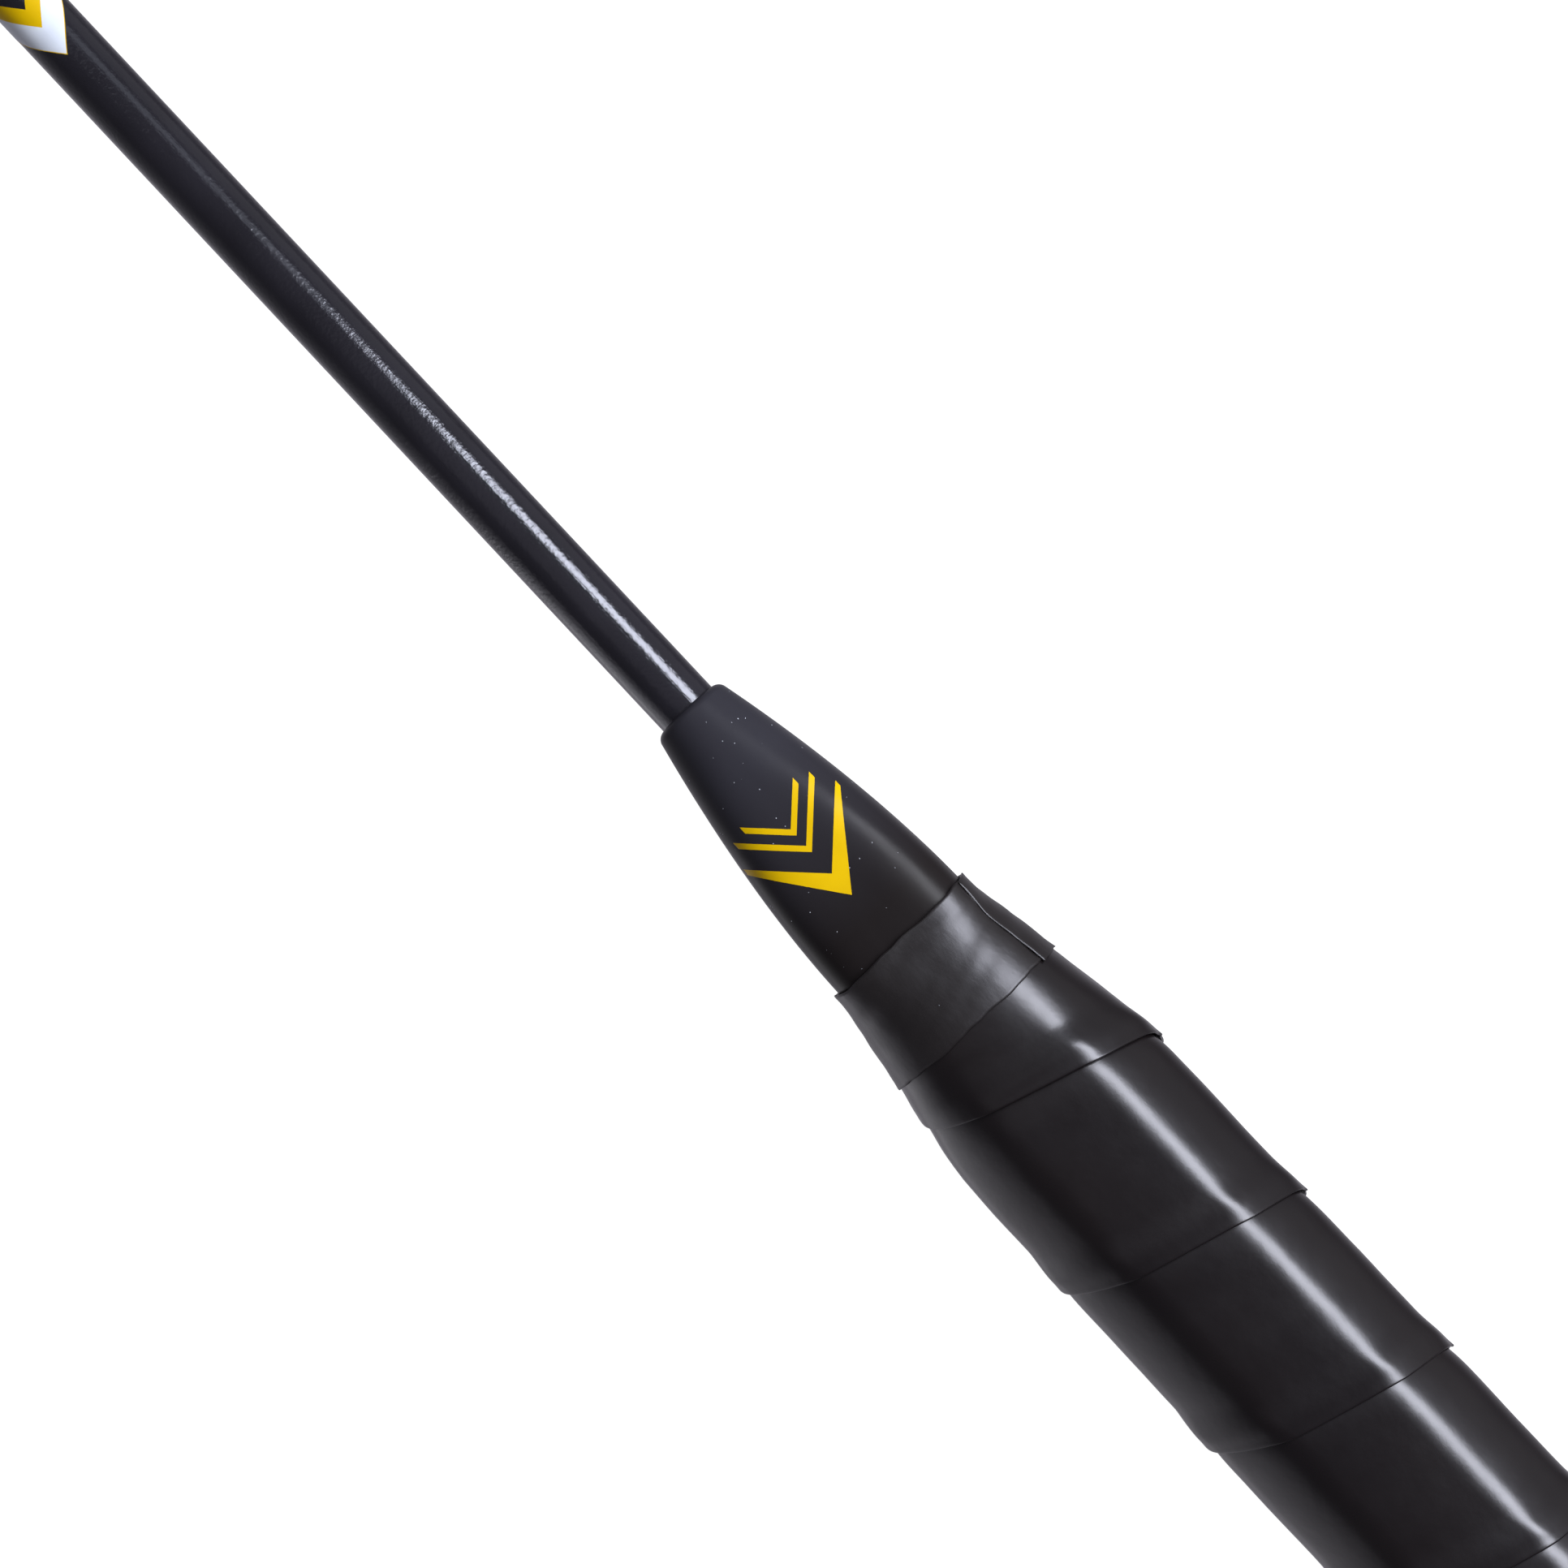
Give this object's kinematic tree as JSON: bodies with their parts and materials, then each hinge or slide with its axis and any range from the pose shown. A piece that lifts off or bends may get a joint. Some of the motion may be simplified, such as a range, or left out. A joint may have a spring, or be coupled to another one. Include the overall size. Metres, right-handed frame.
{
  "type": "badminton racket",
  "caption": "Badminton racket: strung oval carbon hoop, slim round black shaft, moulded cone cap, taped octagonal handle with overlapped polyurethane wrap.",
  "frame": {"origin": "centre of the butt's end face", "axes": "+Y along the racket from the butt to the head's tip, +Z normal to the string bed, +X to the right"},
  "size_m": [0.2022, 0.6751, 0.0278],
  "materials": {
    "frame_paint": "gloss lacquer over carbon fibre",
    "shaft_gloss": "gloss lacquer over carbon fibre",
    "cone_gloss": "gloss moulded plastic",
    "handle_wood": "bare wood",
    "butt_plastic": "satin moulded plastic",
    "badge": "satin, blank",
    "adhesive": "tacky",
    "grip_pu": "satin polyurethane",
    "staple_steel": "zinc plated",
    "tape": "satin vinyl",
    "string": "braided nylon",
    "grommet": "nylon"
  },
  "bodies": {
    "root": {"head_frame": "frame_paint", "t_joint": "frame_paint", "shaft": "shaft_gloss", "cone_cap": "cone_gloss", "handle_core": "handle_wood", "butt_cap": "butt_plastic", "butt_badge": "badge", "grip_adhesive": "adhesive", "grip_wrap": "grip_pu", "grip_staple": "staple_steel", "finishing_tape": "tape", "main_string": "string", "cross_string": "string", "top_grommets": "grommet", "throat_grommets": "grommet", "left_grommets": "grommet", "right_grommets": "grommet", "tie_off_grommets": "grommet"}
  },
  "joints": []
}
